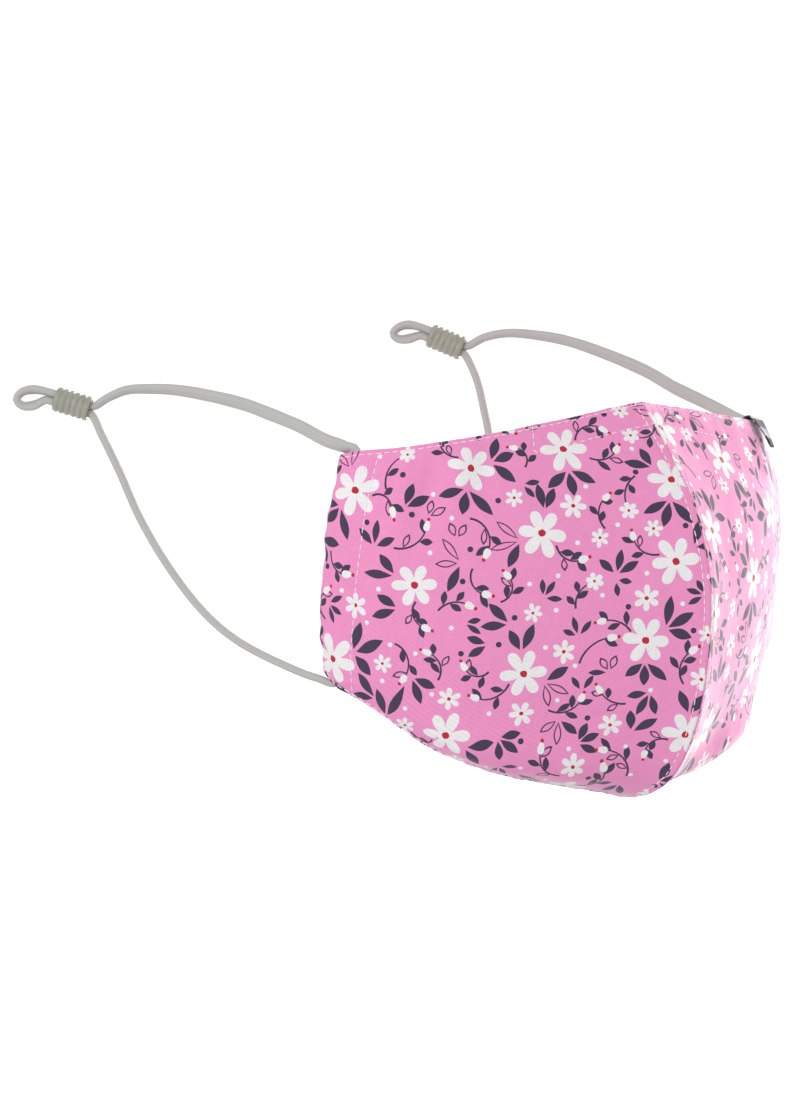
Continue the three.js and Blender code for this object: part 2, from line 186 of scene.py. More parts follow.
def knitted_elastic():
    # Knitted polyester elastic: soft and matt, with columns of small V stitches along it. Its grey carries
    # painted
    # shade: darker where the knit lies low, in the stitch hollows, with a random mottle from the fibres.
    # A stitch is really about 0.4 mm long, and is drawn 0.7 mm long so that it just shows.
    material, tree, output = new_material("knitted_elastic")
    place = add_node(tree, "ShaderNodeUVMap", uv_map="knit")
    parts = add_node(tree, "ShaderNodeSeparateXYZ", {0: place.outputs[0]})
    column = add_node(tree, "ShaderNodeMath", {0: parts.outputs[1], 1: 1.1}, operation="PINGPONG")
    lean = add_node(tree, "ShaderNodeMath", {0: parts.outputs[0], 1: column.outputs[0]}, operation="SUBTRACT")
    turns = add_node(tree, "ShaderNodeMath", {0: lean.outputs[0], 1: 2 * math.pi / 0.7}, operation="MULTIPLY")
    stitch = add_node(tree, "ShaderNodeMath", {0: turns.outputs[0]}, operation="SINE")
    gap = add_node(tree, "ShaderNodeMath", {0: column.outputs[0], 1: 5.7}, operation="MULTIPLY")
    rib = add_node(tree, "ShaderNodeMath", {0: gap.outputs[0]}, operation="COSINE")
    height = add_node(
        tree, "ShaderNodeMath", {0: rib.outputs[0], 1: -0.4, 2: stitch.outputs[0]}, operation="MULTIPLY_ADD")
    fibre = add_node(tree, "ShaderNodeTexNoise", {"Vector": place.outputs[0], "Scale": 2.6, "Detail": 3})
    # Painted shade: the grey darkens where the knit lies low, and the fibre noise adds a random mottle on
    # top.
    shade = add_node(tree, "ShaderNodeMapRange", {0: height.outputs[0], 1: -1.4, 2: 1.4, 3: 0.2, 4: 0.6})
    mottle_and_knit_shade = add_node(
        tree, "ShaderNodeMath", {0: fibre.outputs[0], 1: 0.35, 2: shade.outputs[0]}, operation="MULTIPLY_ADD")
    colour = add_node(tree, "ShaderNodeValToRGB", {0: mottle_and_knit_shade.outputs[0]})
    colour.color_ramp.elements[0].color = linear("#989793")
    colour.color_ramp.elements[0].position = 0.1
    colour.color_ramp.elements[1].color = linear("#c6c6c2")
    colour.color_ramp.elements[1].position = 0.8
    rough = add_node(tree, "ShaderNodeMapRange", {0: fibre.outputs[0], 3: 0.78, 4: 0.92})
    bump = add_node(
        tree, "ShaderNodeBump", {"Strength": 0.35, "Distance": 0.00008, "Height": height.outputs[0]})
    surface = add_node(tree, "ShaderNodeBsdfPrincipled", {
        "Base Color": colour.outputs[0], "Roughness": rough.outputs[0], "Normal": bump.outputs[0],
        "Sheen Weight": 0.25, "Sheen Roughness": 0.5,
    })
    tree.links.new(surface.outputs[0], output.inputs[0])
    return material


def ear_loop(name, route, material):
    """Sweeps the flat section along the route, turned and squeezed as the twist table says."""
    path, walked, rows = follow(route, 0.9)
    stations = [rows[row] for row, _, _ in elastic_twist]
    wide = np.stack(
        [np.interp(walked, stations, [w[k] for _, w, _ in elastic_twist]) for k in range(3)], axis=1)
    size = np.interp(walked, stations, [s for _, _, s in elastic_twist])
    size *= [1 + 0.05 * noise.noise(Vector((w / 7, route[0][0], 0))) for w in walked]
    along = unit(np.gradient(path, axis=0))
    wide = unit(wide - along * (wide * along).sum(axis=1, keepdims=True))
    thin = np.cross(along, wide)
    turn = np.linspace(0, 2 * math.pi, elastic_sides, endpoint=False)
    out = np.sign(np.cos(turn)) * np.abs(np.cos(turn)) ** 0.9 * elastic_width / 2
    up = np.sign(np.sin(turn)) * np.abs(np.sin(turn)) ** 0.9 * elastic_thickness / 2
    squeeze = size[:, None, None]
    rings = path[:, None] + wide[:, None] * out[None, :, None] * squeeze + thin[:, None] * up[None, :, None]
    count = len(path)
    faces, uvs = [], []
    around = elastic_girth / elastic_sides
    for i in range(count - 1):
        for k in range(elastic_sides):
            n = (k + 1) % elastic_sides
            low, high = i * elastic_sides, (i + 1) * elastic_sides
            faces.append((low + k, low + n, high + n, high + k))
            uvs += [
                (walked[i], k * around), (walked[i], (k + 1) * around),
                (walked[i + 1], (k + 1) * around), (walked[i + 1], k * around),
            ]
    last = (count - 1) * elastic_sides
    faces.append(tuple(reversed(range(elastic_sides))))
    faces.append(tuple(range(last, last + elastic_sides)))
    uvs += [(0, 0)] * (2 * elastic_sides)
    loop = new_piece(name, rings.reshape(-1, 3), faces, "knit", uvs)
    loop.data.materials.append(material)
    return loop, path, walked[-1]


elastic_material = knitted_elastic()
ear_loops = {}
for side_name, route in elastic_routes.items():
    loop, loop_path, loop_length = ear_loop(f"elastic_{side_name}", route, elastic_material)
    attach(loop, "root")
    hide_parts(f"ear_loop_{side_name}")
    ear_loops[side_name] = (loop, loop_path, loop_length)

# Cloth halves: each is one sheet of printed cotton with a lining, two millimetres thick. It is cut with a
# curved edge for the centre seam, hemmed at the top and bottom, and its side edge is folded back and sewn
# down as a casing for the elastic.
nose_reach, mask_height, half_width, side_depth = 32.5, 122.0, 86.0, 53.7
side_top_drop, side_height, chin_dip = 14.5, 66.9, 9.0
cloth_thickness, casing_wall = 2.0, 1.0
casing_width, fold_share = 14.5, 0.44
# The sheet is laid out flat with a panel 100 wide, the casing beyond it, and every row 110 down
panel_width, sheet_height = 100.0, 110.0
# How far the two handles of each row's curve reach, as shares of its chord
seam_handle, fold_handle = 0.36, 0.38
# Rows down the cloth, as shares of the sizes above: seam forward, seam drop, side out, side back, side fall,
# then the angles in degrees at which the cloth leaves the seam and reaches the fold, and the chin dip
cloth_rows = np.array([
    (0.00, 0.000, 0.000, 0.965, 0.829, 0.000, 12, 70, 0.10),
    (0.10, 0.310, 0.090, 0.977, 0.838, 0.097, 20, 74, 0.05),
    (0.25, 0.770, 0.254, 0.994, 0.866, 0.254, 30, 78, 0.00),
    (0.40, 1.000, 0.451, 1.000, 0.894, 0.411, 35, 80, 0.00),
    (0.55, 0.950, 0.648, 0.998, 0.927, 0.575, 36, 81, 0.11),
    (0.70, 0.780, 0.807, 0.988, 0.959, 0.732, 36, 81, 0.44),
    (0.82, 0.490, 0.926, 0.976, 0.980, 0.852, 33, 80, 0.78),
    (0.92, 0.120, 0.984, 0.963, 0.993, 0.942, 26, 76, 0.94),
    (1.00, -0.215, 1.000, 0.953, 1.000, 1.000, 18, 70, 1.00),
])
# The casing in section, from the stitch line out to the fold and back along the inside: how far each point
# lies in front of the fold, and how deep behind the outer face, in millimetres
casing_section = [
    (14.5, 0.0), (11.3, 0.0), (7.8, 0.0), (4.1, 0.0), (1.6, 0.34), (0.3, 1.5), (0.0, 2.8),
    (0.3, 4.2), (1.6, 5.3), (4.1, 5.6), (7.8, 5.38), (11.3, 4.05), (14.5, 2.15),
]


def row_values(down):
    """Every column of the cloth rows at each place down the mask, by a smooth curve through the rows."""
    last = len(cloth_rows) - 1
    k = np.clip(np.searchsorted(cloth_rows[:, 0], down, side="right") - 1, 0, last - 1)

    def slope(row):
        before, after = cloth_rows[np.maximum(row - 1, 0)], cloth_rows[np.minimum(row + 1, last)]
        return (after - before) / (after[:, :1] - before[:, :1])

    start, end = cloth_rows[k], cloth_rows[k + 1]
    span = end[:, :1] - start[:, :1]
    t = (down[:, None] - start[:, :1]) / span
    near = 2 * t**3 - 3 * t**2 + 1
    bend = (t**3 - 2 * t**2 + t) * span * slope(k) + (t**3 - t**2) * span * slope(k + 1)
    return near * start + (1 - near) * end + bend


def cloth_face(across, down):
    """Points of the outer face of the left half: across runs from the seam to the fold, down to the hem."""
    shares = row_values(down).T
    seam_forward, seam_drop, side_out, side_back, side_fall, seam_angle, side_angle, dip = shares[1:]
    seam_y, seam_z = -nose_reach * seam_forward, -mask_height * seam_drop
    fold_x, fold_y = half_width * side_out, side_depth * side_back
    fold_z = -side_top_drop - side_height * side_fall
    chord = np.hypot(fold_x, fold_y - seam_y)
    leave, arrive = np.radians(seam_angle), np.radians(side_angle)
    t, s = across, 1 - across
    x = (
        3 * s * s * t * seam_handle * chord * np.cos(leave)
        + 3 * s * t * t * (fold_x - fold_handle * chord * np.cos(arrive)) + t**3 * fold_x
    )
    y = (
        s**3 * seam_y + 3 * s * s * t * (seam_y + seam_handle * chord * np.sin(leave))
        + 3 * s * t * t * (fold_y - fold_handle * chord * np.sin(arrive)) + t**3 * fold_y
    )
    z = seam_z + (fold_z - seam_z) * across - chin_dip * dip * np.sin(np.pi * np.clip(across, 0, 1) ** 1.2)
    return np.stack([x, y - cloth_thickness, z], axis=1)


def cloth_inward(across, down):
    """The direction into the cloth, mitred close to the seam so that the halves meet flat."""
    step = 0.002
    a, d = np.minimum(across, 1 - step), np.minimum(down, 1 - step)
    here = cloth_face(a, d)
    inward = unit(np.cross(cloth_face(a + step, d) - here, cloth_face(a, d + step) - here))
    mitre = inward * (0, 1, 1)
    mitre /= (mitre**2).sum(axis=1, keepdims=True)
    blend = np.clip(1 - across / 0.03, 0, 1)[:, None]
    return inward * (1 - blend) + mitre * blend


# Where each length measured forward from the fold falls, as a share of the row, for rows down the mask
forward_step = 0.5
down_marks, forward_marks = np.linspace(0, 1, 45), np.arange(0, 17, forward_step)
share_marks = np.linspace(0, 1, 161)
across_table, row_lengths = [], []
for mark in down_marks:
    row = cloth_face(share_marks, np.full_like(share_marks, mark))
    from_seam = np.concatenate([[0], np.cumsum(np.linalg.norm(np.diff(row, axis=0), axis=1))])
    across_table.append(np.interp(forward_marks, (from_seam[-1] - from_seam)[::-1], share_marks[::-1]))
    row_lengths.append(from_seam[-1])
across_table, row_lengths = np.array(across_table), np.array(row_lengths)
fold_path, fold_run, _ = follow(casing_section, 0.1)
casing_run = fold_run[-1]


def across_at(forward, down):
    i, j = down * (len(down_marks) - 1), forward / forward_step
    i0 = np.clip(i.astype(int), 0, len(down_marks) - 2)
    j0 = np.clip(j.astype(int), 0, len(forward_marks) - 2)
    u, v = i - i0, j - j0
    near = across_table[i0, j0] * (1 - v) + across_table[i0, j0 + 1] * v
    far = across_table[i0 + 1, j0] * (1 - v) + across_table[i0 + 1, j0 + 1] * v
    return near * (1 - u) + far * u


# The elastic pulls in the ends of the casing where it comes out over the fold. It also lifts the lower hem by
# this much in millimetres, round this place on the sheet, over these distances along the hem and up from it.
hem_lift, hem_lift_at, hem_lift_along, hem_lift_up = 3.4, 91, 10, 14


def sheet_face(x, y):
    """Points of the flat sheet on the mask: x from the seam over the panel and round the casing, y down."""
    from_end = sheet_height - y
    corner = 0.6 * np.exp(-(((x - panel_width - fold_share * casing_run) / 4.5) ** 2))
    pinch = corner * (np.exp(-((y / 8) ** 2)) - np.exp(-((from_end / 8) ** 2)))
    along_hem = np.exp(-(((x - hem_lift_at) / hem_lift_along) ** 2))
    pinch -= hem_lift * along_hem * np.exp(-((from_end / hem_lift_up) ** 2))
    down = np.clip((y + pinch) / sheet_height, 0, 1)
    run = np.clip(x - panel_width, 0, casing_run)
    forward = np.interp(run, fold_run, fold_path[:, 0])
    depth = np.interp(run, fold_run, fold_path[:, 1])
    panel = np.clip(x, 0, None) / panel_width * across_at(np.full_like(x, casing_width), down)
    across = np.where(x < panel_width, panel, across_at(forward, down))
    inward = cloth_inward(across, down)
    return cloth_face(across, down) + inward * depth[:, None], inward


def sheet_frame(x, y):
    """Points of the sheet with its slopes along x and y, and the direction out of the printed face."""
    step = 0.15
    x0, x1 = np.maximum(x - step, 0), np.minimum(x + step, panel_width + casing_run)
    y0, y1 = np.maximum(y - step, 0), np.minimum(y + step, sheet_height)
    here, inward = sheet_face(x, y)
    along_x = (sheet_face(x1, y)[0] - sheet_face(x0, y)[0]) / (x1 - x0)[:, None]
    along_y = (sheet_face(x, y1)[0] - sheet_face(x, y0)[0]) / (y1 - y0)[:, None]
    outward = unit(np.cross(along_y, along_x))
    return here, along_x, along_y, outward, inward


# The printed side of the cotton: a small scattered print of plain six-petalled flowers, leaf sprays, buds and
# dots in white, red and navy on pink. Every motif is drawn here from a rule and laid out by a seeded throw.
ground, white_ink, red_ink, navy_ink = range(4)
ink_colours = ("#f094c7", "#efedee", "#c0203a", "#40354f")


def turned(points, angle, at=(0, 0)):
    c, s = math.cos(angle), math.sin(angle)
    return np.asarray(points) @ np.array([(c, s), (-s, c)]) + at


def placed(motif, angle, at):
    """A motif's shapes and the circles of room that it takes, turned and moved."""
    shapes, room = motif
    return (
        [(ink, turned(points, angle, at)) for ink, points in shapes],
        [(*turned((a, b), angle, at), radius) for a, b, radius in room],
    )


def dot(radius, sides=12):
    turn = np.linspace(0, 2 * math.pi, sides, endpoint=False)
    return np.stack([np.cos(turn), np.sin(turn)], axis=1) * radius


def petal(length, width):
    turn = np.linspace(0, 2 * math.pi, 18, endpoint=False)
    along = length * (0.5 - 0.5 * np.cos(turn))
    return np.stack([along, -np.sin(turn) * width / 2 * (0.5 + 0.75 * along / length)], axis=1)


def leaf(length, width):
    share = np.linspace(0, 1, 9)
    half = width / 2 * (4 * share**1.12 * (1 - share**1.12)) ** 1.1
    lower = np.stack([share * length, -half], axis=1)
    upper = np.stack([share * length, half], axis=1)[-2:0:-1]
    return np.vstack([lower, upper])


def flower(rng, radius, petal_width, eye):
    start = rng.uniform(0, 2 * math.pi)
    shapes = []
    for k in range(6):
        angle = start + k * math.pi / 3 + rng.normal(0, 0.05)
        shapes.append((white_ink, turned(petal(radius * rng.uniform(0.93, 1.04), petal_width), angle)))
    shapes.append((white_ink, dot(radius * 0.28)))
    shapes.append((red_ink, dot(eye) * rng.uniform(0.9, 1.1, (12, 1))))
    return shapes, [(0, 0, radius * 0.97)], start


def leaf_shapes(length, width, angle, outlined):
    full = turned(leaf(length, width), angle, turned((1.0, 0), angle))
    if not outlined:
        return [(navy_ink, full)]
    hollow = turned(leaf(length - 1.45, width - 0.85), angle, turned((1.7, 0), angle))
    return [(navy_ink, full), (ground, hollow)]


def spray(rng, size=1.0, outlined=False):
    """Two or three leaves that fan out from one point."""
    shapes, room = [], []
    count = rng.integers(2, 4)
    lean = rng.uniform(0.82, 1.0)
    for k in range(count):
        angle = (k - (count - 1) / 2) * lean + rng.normal(0, 0.07)
        length = size * rng.uniform(6.2, 8.6)
        hollow = outlined and k < 2
        shapes += leaf_shapes(length, 2.4 if hollow else 2.8 * size, angle, hollow)
        for share in (0.35, 0.8):
            room.append((*turned((length * share + 0.5, 0), angle), 1.05 * size))
    return shapes, room


def twig(rng, size=1.0, end="bud"):
    """A curved stem with small leaves on both sides, and a bud or a small flower at its end."""
    length = size * rng.uniform(8.5, 12)
    bend = rng.choice([-1, 1]) * rng.uniform(1.1, 1.9)
    share = np.linspace(0, 1, 10)
    heading = bend * (share - 0.35)
    step = length / 9
    line = np.concatenate([[(0, 0)], np.cumsum(
        np.stack([np.cos(heading), np.sin(heading)], axis=1)[:-1] * step, axis=0)])
    side = np.stack([-np.sin(heading), np.cos(heading)], axis=1) * (0.34 - 0.12 * share)[:, None]
    shapes = [(navy_ink, np.vstack([line - side, (line + side)[::-1]]))]
    room = [(*line[k], 0.9) for k in (2, 5, 8)]
    hand = rng.choice([-1, 1])
    for k in (2, 4, 6, 8) if end == "bud" else (1, 3, 5):
        if rng.random() < 0.18:
            continue
        angle = heading[k] + hand * rng.uniform(0.6, 0.95)
        leaf_length = size * rng.uniform(3.8, 4.9)
        outlined = rng.random() < 0.25
        for ink, points in leaf_shapes(leaf_length, 2.0, angle, outlined):
            shapes.append((ink, points + line[k] - turned((0.7, 0), angle)))
        room.append((*(line[k] + turned((leaf_length * 0.7, 0), angle)), 1.0))
        hand = -hand
    tip, angle = line[-1], heading[-1]
    if end == "bud":
        bud_tip = tip + turned((3.3, 0), angle)
        shapes.append((white_ink, turned(petal(3.5, 2.3), angle + math.pi, bud_tip)))
        shapes.append((red_ink, turned(dot(0.55, 10), 0, bud_tip)))
        room.append((*(tip + turned((1.8, 0), angle)), 1.9))
    else:
        bloom, _, _ = flower(rng, 2.9, 1.75, 0.45)
        centre = tip + turned((2.6, 0), angle)
        shapes += [(ink, points + centre) for ink, points in bloom]
        room.append((*centre, 3.0))
    return shapes, room


def bouquet(rng):
    """A large flower with sprays and twigs that come out from under its petals."""
    radius = rng.uniform(7.0, 7.9)
    shapes, room, start = flower(rng, radius, radius * 0.5, 1.15)
    under = []
    kinds = ["spray", "twig"] + [("outlined", "spray")[int(rng.integers(0, 2))]] * int(rng.integers(0, 2))
    for slot, kind in zip(rng.permutation(3) * 2 + rng.integers(0, 2), kinds):
        angle = start + (slot + 0.5) * math.pi / 3
        motif = twig(rng, 0.95) if kind == "twig" else spray(rng, 1.08, kind == "outlined")
        base = turned((radius * (0.72 if kind == "twig" else 0.9), 0), angle)
        made, taken = placed(motif, angle, base)
        under, room = under + made, room + taken
    return under + shapes, room


def small_flower(rng):
    radius = rng.choice([4.1, 3.7, 3.0])
    shapes, room, start = flower(rng, radius, radius * 0.5, radius * 0.16)
    if rng.random() < 0.3:
        angle = start + math.pi / 6
        made, taken = placed(spray(rng, 0.6), angle, turned((radius * 0.8, 0), angle))
        shapes, room = made + shapes, room + taken
    return shapes, room


def loose_spray(rng):
    return spray(rng, rng.choice([1.05, 0.9, 0.65]), rng.random() < 0.35)


def loose_twig(rng):
    return twig(rng, rng.uniform(0.85, 1.1), "bud" if rng.random() < 0.6 else "flower")


def spot(rng):
    if rng.random() < 0.45:
        return [(navy_ink, dot(0.9))], [(0, 0, 0.9)]
    return [(white_ink, dot(0.75))], [(0, 0, 0.75)]


# The most that the sheet is stretched anywhere on the mask, and where it begins to bend round the fold
most_stretch, curved_from = 1.7, 82


def lay_out_print(seed):
    """Throws the motifs on the sheet, largest first, and keeps each one that touches nothing laid before."""
    rng = np.random.default_rng(seed)
    taken_at, taken_room = np.zeros((0, 3)), np.zeros(0)
    laid = []
    # Each motif with its throws, the least gap round it, and how far apart two of the same kind stay
    for make, throws, margin, apart in (
        (bouquet, 600, 0.6, 25), (loose_spray, 220, 0.8, 18), (loose_twig, 1600, 0.6, 13),
        (small_flower, 1600, 0.8, 12), (loose_spray, 2400, 0.8, 8), (spot, 1600, 0.8, 8),
    ):
        alike = np.full((1, 3), 1e6)
        x = rng.uniform(0, panel_width + casing_run, throws)
        y = rng.uniform(0, sheet_height, throws)
        here, along_x, along_y, _, _ = sheet_frame(x, y)
        keep = rng.random(throws) < np.linalg.norm(np.cross(along_x, along_y), axis=1) / most_stretch
        for k in np.flatnonzero(keep):
            shapes, room = make(rng)
            spin = rng.uniform(0, 2 * math.pi)
            room = np.array([(*turned((a, b), spin), r) for a, b, r in room])
            across = unit(along_x[k])
            lean = along_y[k] @ across
            down = along_y[k] - lean * across
            drop = np.linalg.norm(down)

            def on_sheet(a, b):
                step_x = (a - lean * (b / drop)) / np.linalg.norm(along_x[k])
                return x[k] + step_x, y[k] + b / drop

            spots = here[k] + room[:, :1] * across + room[:, 1:2] * down / drop
            if x[k] > curved_from:
                spots = sheet_face(*on_sheet(room[:, 0], room[:, 1]))[0]
            gap = np.linalg.norm(taken_at[None] - spots[:, None], axis=2) - taken_room[None] - room[:, 2:]
            if gap.size and gap.min() < margin or np.linalg.norm(alike - here[k], axis=1).min() < apart:
                continue
            alike = np.vstack([alike, here[k]])
            taken_at = np.vstack([taken_at, spots])
            taken_room = np.concatenate([taken_room, room[:, 2]])
            for ink, points in shapes:
                laid.append((ink, np.stack(on_sheet(*turned(points, spin).T), axis=1)))
    return laid


# The stitch lines on one half, as points of the sheet: beside the seam, inside the top and bottom hems, down
# the front of the casing, and round the channel for the nose stiffener
seam_stitch, hem_stitch, stitch_pitch = 2.3, 1.4, 2.6
nose_channel, nose_channel_length = 9.2, 44.0
casing_stitch_start, casing_lines = 6.5, (3, 4)
# Each of the casing's two lines: how far across the sheet it runs, and where it ends
casing_stitches = ((panel_width + 0.4, sheet_height - 1.5), (panel_width + casing_run - 1.2, 103.5))


def stitch_lines():
    ys = np.linspace(0.6, sheet_height - 0.6, 110)
    xs = np.linspace(0.8, panel_width + 13, 110)
    seam_scale = np.linalg.norm(sheet_frame(np.full_like(ys, 0.5), ys)[1], axis=1)
    top_scale = np.linalg.norm(sheet_frame(xs, np.full_like(xs, 0.5))[2], axis=1)
    low_scale = np.linalg.norm(sheet_frame(xs, np.full_like(xs, sheet_height - 0.5))[2], axis=1)
    row_scale = row_lengths[0] / panel_width
    channel = np.linspace(0.6, nose_channel_length / row_scale, 50)
    channel_scale = np.interp(channel, xs, top_scale)
    end = np.linspace(nose_channel, hem_stitch, 8) / channel_scale[-1]
    casing = [
        np.stack([np.full(80, across), np.linspace(casing_stitch_start, low, 80)], axis=1)
        for across, low in casing_stitches
    ]
    return [
        np.stack([seam_stitch / seam_scale, ys], axis=1),
        np.stack([xs, hem_stitch / top_scale], axis=1),
        np.stack([xs, sheet_height - hem_stitch / low_scale], axis=1),
        *casing,
        np.vstack([
            np.stack([channel, nose_channel / channel_scale], axis=1),
            np.stack([channel[-1] - np.linspace(0, 1.2, 8), end], axis=1)[1:],
        ]),
    ]


sheet_lines = stitch_lines()
line_points, line_along = [], []
for line in sheet_lines:
    on_cloth, walked, _ = follow(sheet_face(line[:, 0], line[:, 1])[0], 0.3)
    line_points.append(on_cloth)
    line_along.append(walked)
line_points, line_along = np.vstack(line_points), np.concatenate(line_along)
stitch_tree = kdtree.KDTree(len(line_points))
for k, point in enumerate(line_points):
    stitch_tree.insert(point, k)
stitch_tree.balance()

# Soft folds in the cloth: where each starts and ends on the sheet, its width and its height in millimetres
soft_folds = {
    "right": [
        (88, 6, 92, 60, 5.0, 0.7), (78, 4, 83, 40, 4.0, -0.5), (68, 3, 74, 34, 4.0, 0.6),
        (60, 3, 63, 26, 3.5, -0.4), (94, 50, 90, 100, 4.5, 0.6), (84, 84, 60, 100, 5.0, -0.6),
        (40, 12, 46, 30, 6.0, -0.4), (75, 98, 40, 104, 3.5, 0.5), (20, 88, 60, 92, 6.0, 0.5),
    ],
    "left": [
        (86, 4, 90, 56, 5.0, 0.3), (72, 3, 78, 30, 4.0, -0.5), (90, 66, 86, 120, 11.0, 1.3),
        (64, 4, 66, 24, 3.5, 0.4), (82, 82, 60, 98, 5.0, -0.5), (30, 90, 62, 94, 6.0, 0.5),
    ],
}
# The cloth turns under along a soft bend above the bottom hem: its height in millimetres, then where it lies
# and how wide it is as shares of the sheet. The casing is full where the elastic is, by the last number.
under_bend, under_bend_at, under_bend_width = 2.8, 0.87, 0.06
casing_fullness = 0.9


def sheet_thickness(x):
    share = np.clip((panel_width + 0.2 - x) / 0.8, 0, 1)
    return casing_wall + (cloth_thickness - casing_wall) * share


def hem_rounding(x, y, along_y):
    """How far the two faces draw in towards each other at the top and bottom hems."""
    edge_far = np.minimum(y, sheet_height - y) * np.linalg.norm(along_y, axis=1)
    radius = 0.45 * sheet_thickness(x)
    inside = np.clip(radius - edge_far, 0, radius)
    return radius - np.sqrt(np.maximum(radius**2 - inside**2, 0))


def relief(side_name, x, y, here, along_x, along_y):
    """How far the printed face stands out of its smooth shape, in millimetres."""
    seam_far = x * np.linalg.norm(along_x, axis=1)
    height = -hem_rounding(x, y, along_y)
    height -= 0.5 * np.exp(-((seam_far / 0.25) ** 2))
    down = y / sheet_height
    spread = np.clip(np.minimum(x - 4, 84 - x) / 26, 0, 1)
    bend = under_bend * np.exp(-(((down - under_bend_at) / under_bend_width) ** 2))
    height += bend * spread * spread * (3 - 2 * spread)
    height += casing_fullness * np.exp(-(((x - panel_width - 6) / 3.8) ** 2))
    for x0, y0, x1, y1, width, rise in soft_folds[side_name]:
        length = math.hypot(x1 - x0, y1 - y0)
        share = ((x - x0) * (x1 - x0) + (y - y0) * (y1 - y0)) / length**2
        off = ((x - x0) * (y1 - y0) - (y - y0) * (x1 - x0)) / length
        fade = np.clip(np.minimum(share, 1 - share) * 3 + 0.25, 0, 1)
        height += 1.5 * rise * np.exp(-((off / width) ** 2)) * fade * fade * (3 - 2 * fade)
    shift = 0.0 if side_name == "right" else 40.0
    for k, point in enumerate(here):
        _, nearest, far = stitch_tree.find(point)
        along = line_along[nearest]
        pull = 0.72 + 0.28 * math.cos(2 * math.pi * along / stitch_pitch)
        height[k] -= 0.3 * pull * math.exp(-((far / 0.7) ** 2))
        free = min(1, seam_far[k] / 2.5)
        pucker = noise.noise(Vector((along / 3.2, 0, shift)))
        height[k] += 0.5 * free * pucker * math.exp(-far / 2.2) * (1 - math.exp(-((far / 0.6) ** 2)))
        spot_at = Vector(point) / 17
        spot_at.x += shift
        height[k] += free * (0.45 * noise.noise(spot_at) + 0.12 * noise.noise(spot_at * 4))
    # The free fold of the casing is a little wavy, where the elastic gathers it
    fold_far = np.abs(x - panel_width - casing_run * fold_share)
    wave = np.array([noise.noise(Vector((0.11 * b, 3.1, shift))) for b in y])
    height += 0.9 * wave * np.exp(-((fold_far / 5) ** 2))
    return height


def sheet_points(rng):
    """The flat sheet's outline, and the loose points that divide it, closer at the hems, seam and fold."""
    width = panel_width + casing_run
    xs, ys = np.linspace(0, width, 96), np.linspace(0, sheet_height, 92)
    outline = np.vstack([
        np.stack([xs[:-1], np.zeros_like(xs[:-1])], axis=1),
        np.stack([np.full_like(ys[:-1], width), ys[:-1]], axis=1),
        np.stack([xs[:0:-1], np.full_like(xs[:0:-1], sheet_height)], axis=1),
        np.stack([np.zeros_like(ys[:0:-1]), ys[:0:-1]], axis=1),
    ])
    loose = []
    for j, b in enumerate(np.arange(1.3, sheet_height - 1, 1.45)):
        a = np.arange(1.0 + 0.7 * (j % 2), width - 0.6, 1.4)
        loose.append(np.stack([a, np.full_like(a, b)], axis=1) + rng.uniform(-0.12, 0.12, (len(a), 2)))
    a = np.arange(0.6, width, 1.2)
    for hem in (0.5, sheet_height - 0.5):
        scale = np.linalg.norm(sheet_frame(a, np.full_like(a, hem))[2], axis=1)
        for far in (0.12, 0.3, 0.6, 0.95, 1.3, 1.6, 1.9, 2.3):
            loose.append(np.stack([a, np.abs((hem > 1) * sheet_height - far / scale)], axis=1))
    b = np.arange(0.8, sheet_height, 1.0)
    for far in (0.15, 0.35, 0.6, 0.9, 1.3, 1.7, 2.0, 2.3, 2.6, 3.0):
        loose.append(np.stack([np.full_like(b, far / 1.05), b], axis=1))
    for a in np.concatenate([panel_width + np.array([-1, -0.6, -0.2, 0.1, 0.4, 0.7, 1.0, 1.5]),
                             panel_width + np.arange(9.6, 20, 0.62)]):
        loose.append(np.stack([np.full_like(b, a), b], axis=1))
    loose = np.vstack(loose)
    inside = (loose[:, 0] > 0.05) & (loose[:, 0] < width - 0.05)
    inside &= (loose[:, 1] > 0.03) & (loose[:, 1] < sheet_height - 0.03)
    return outline, loose[inside]


# How long the centre seam and the side fold are, in millimetres, for the weave to keep its scale
seam_length, fold_length = 150, 67


